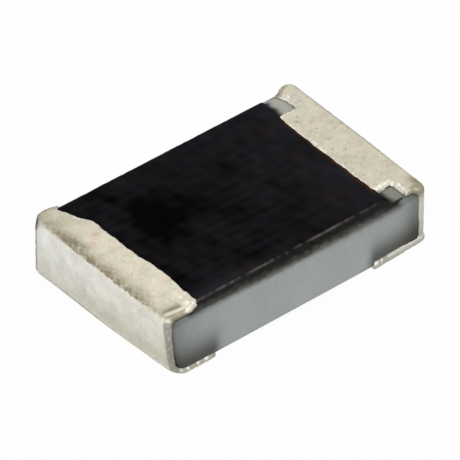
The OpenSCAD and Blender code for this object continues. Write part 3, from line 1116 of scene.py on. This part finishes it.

    # Painted highlights
    front_notch = ramp(-y, NOTCH_SHINE_FROM, NOTCH_SHINE_TO) * right * (1.0 - front_corner)
    notch_side = ramp(np.abs(y - TAB_MIDDLE), NOTCH_SIDE_FROM, NOTCH_SIDE_TO)
    edge_width = EDGE_WIDTH + EDGE_WIDTH_NOTCH * front_notch
    by_edge = near(inner_edge(x, y) - EDGE_PLACE, edge_width) * on_top
    sparkle = ripple(x, y, z, SPARKLE) + SPARKLE_NOTCH * front_notch
    sparkle = ramp(sparkle, SPARKLE_FROM, SPARKLE_TO) * by_edge
    sparkle = sparkle * np.maximum(LEFT_SPARKLE * left + RIGHT_SPARKLE * right,
                                   NOTCH_SPARKLE * notch_side)
    beaded = ramp(ripple(0.0, y, 0.0, NOSE_BEADS), NOSE_BEADS_FROM, NOSE_BEADS_TO)
    nose = near(x - NOSE_X, NOSE_WIDTH) * ramp(-y, NOSE_SIDE_FROM, NOSE_SIDE_TO) * on_top
    gleam = near(past_crease - GLEAM_PLACE, GLEAM_WIDTH) * leg_span * left
    gleam = GLEAM * gleam * (GLEAM_EVEN + GLEAM_PATCH * patch)
    knobbed = ramp(knobs, KNOB_FROM, 1.0)
    knobbed = np.where(x > pad - KNOB_TIP, knobbed, knobbed * left + KNOB_EVEN * right)
    painted_highlight = strip * near(z - KNOB_PLACE * strip_top, KNOB_WIDTH) * knobbed
    painted_highlight = painted_highlight + np.maximum.reduce([sparkle, nose * beaded * left, gleam])

    # Casts, with painted shade lower on the walls
    warm_wall = WARM_WALL + WARM_FRONT * ramp(y, WARM_FROM, WARM_TO)
    warm = np.maximum(on_top * (WARM_TOP + WARM_PATCH * patch), warm_wall)
    low_shade = LOW_SHADE_WALL - LOW_SHADE_BACK_LESS * ramp(y, 0.0, LOW_SHADE_BACK_TO)
    low_shade = low_shade - LOW_SHADE_FOOT_LESS * ramp(LOW_SHADE_FOOT - z, 0.0, LOW_SHADE_FOOT)
    low_shade = on_wall * ramp(top - z, LOW_SHADE_FROM, LOW_SHADE_TO) * low_shade
    darker_top = DARKER_TOP_RIGHT * right + DARKER_TOP_BACK * left * ramp(y, DARKER_TOP_FROM, DARKER_TOP_TO)
    flecks = on_top * (LEFT_FLECKS * left + RIGHT_FLECKS * right)
    if mirror < 0:
        points = points * np.array([-1.0, 1.0, 1.0])
        faces = faces[:, ::-1]
    cap = piece(name, points, faces, tin,
                {"warm": warm, "low": low_shade + on_top * darker_top, "browning_and_shade": browning_and_shade,
                 "grime_and_shade": grime_and_shade, "painted_highlight": painted_highlight, "flecked": flecks})
    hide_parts(node)


tin_cap("tin_left", "tin_cap_left", 1, left_edge, left_rim, LEFT_WALL, LEFT_TAPER, LEFT_CREEP,
        LEFT_FOOT_FILLET)
tin_cap("tin_right", "tin_cap_right", -1, right_edge, right_rim, RIGHT_WALL, RIGHT_TAPER, RIGHT_CREEP,
        RIGHT_FOOT_FILLET)


# Table and light
# A plain white table, a soft lamp over the left front, a smaller one over the right and an even
# white surround. Table and surround are white to the eye, and the table keeps a faint shadow.
TABLE = 0.4
TABLE_GAP = 0.004 * MM
WHITE_SHARE = 0.96
AMBIENT = 0.55
WHITE = (1.0, 1.0, 1.0, 1.0)


def seen(tree):
    """Socket that is 1 where the eye meets a surface, by itself, in a reflection or through glass."""
    path = add(tree, "ShaderNodeLightPath", {}).outputs
    straight = add(tree, "ShaderNodeMath", {0: path["Is Camera Ray"], 1: path["Is Glossy Ray"]},
                   operation="MAXIMUM").outputs["Value"]
    return add(tree, "ShaderNodeMath", {0: straight, 1: path["Is Transmission Ray"]},
               operation="MAXIMUM").outputs["Value"]


bpy.ops.mesh.primitive_plane_add(size=TABLE, location=(0.0, 0.0, cad_low[2] - TABLE_GAP))
table = bpy.context.object
table.name = "table"
paper, tree, shader, place = surface("white_table")
shader.inputs["Base Color"].default_value = linear("F6F6F4")
shader.inputs["Roughness"].default_value = 0.9
shader.inputs["Specular IOR Level"].default_value = 0.0
share = add(tree, "ShaderNodeMath", {0: seen(tree), 1: WHITE_SHARE}, operation="MULTIPLY")
white = add(tree, "ShaderNodeEmission", {"Color": WHITE, "Strength": 1.0})
both = add(tree, "ShaderNodeMixShader", {0: share.outputs["Value"], 1: shader.outputs["BSDF"],
                                         2: white.outputs["Emission"]})
tree.links.new(both.outputs["Shader"], tree.nodes["Material Output"].inputs["Surface"])
table.data.materials.append(paper)

world = bpy.data.worlds.new("white_surround")
bpy.context.scene.world = world
world.use_nodes = True
tree = world.node_tree
level = add(tree, "ShaderNodeMapRange", {"Value": seen(tree), "To Min": AMBIENT, "To Max": 1.0})
background = tree.nodes["Background"]
background.inputs["Color"].default_value = WHITE
tree.links.new(level.outputs["Result"], background.inputs["Strength"])


def lamp(name, place, size, radiance):
    """Square lamp that faces the chip, as bright to the eye as its radiance says."""
    data = bpy.data.lights.new(name, "AREA")
    data.size = size
    data.energy = radiance * math.pi * size * size
    made = bpy.data.objects.new(name, data)
    made.location = place
    made.rotation_euler = (-Vector(place)).to_track_quat("-Z", "Y").to_euler()
    bpy.context.scene.collection.objects.link(made)


KEY_PLACE = Vector((-26, -14, 34)) * MM
KEY_SIZE = 28 * MM
KEY_RADIANCE = 2.2
OVERHEAD_PLACE = Vector((22, -6, 38)) * MM
OVERHEAD_SIZE = 10 * MM
OVERHEAD_RADIANCE = 4.0
lamp("key", KEY_PLACE, KEY_SIZE, KEY_RADIANCE)
lamp("overhead", OVERHEAD_PLACE, OVERHEAD_SIZE, OVERHEAD_RADIANCE)


# Camera
# A long lens that looks down on the front left corner, as the photograph does.
AZIMUTH = math.radians(-39.8)
ELEVATION = math.radians(39.6)
FRAME_PIXELS = 460
FOCAL_PIXELS = 5570
PIXELS_PER_MM = 168.5
CHIP_BELOW_MIDDLE = 27
SENSOR = 36.0
NEAREST = 1 * MM
FARTHEST = 1.0
camera_data = bpy.data.cameras.new("camera")
camera_data.sensor_width = SENSOR
camera_data.lens = FOCAL_PIXELS / FRAME_PIXELS * SENSOR
camera_data.clip_start = NEAREST
camera_data.clip_end = FARTHEST
camera = bpy.data.objects.new("camera", camera_data)
bpy.context.scene.collection.objects.link(camera)
back = Vector((math.sin(AZIMUTH) * math.cos(ELEVATION), -math.cos(AZIMUTH) * math.cos(ELEVATION),
               math.sin(ELEVATION)))
right = Vector((math.cos(AZIMUTH), math.sin(AZIMUTH), 0.0))
up = back.cross(right)
camera.location = (back * FOCAL_PIXELS + up * CHIP_BELOW_MIDDLE) / PIXELS_PER_MM * MM
camera.rotation_euler = (-back).to_track_quat("-Z", "Y").to_euler()
bpy.context.scene.camera = camera
bpy.context.scene.view_settings.view_transform = "Standard"
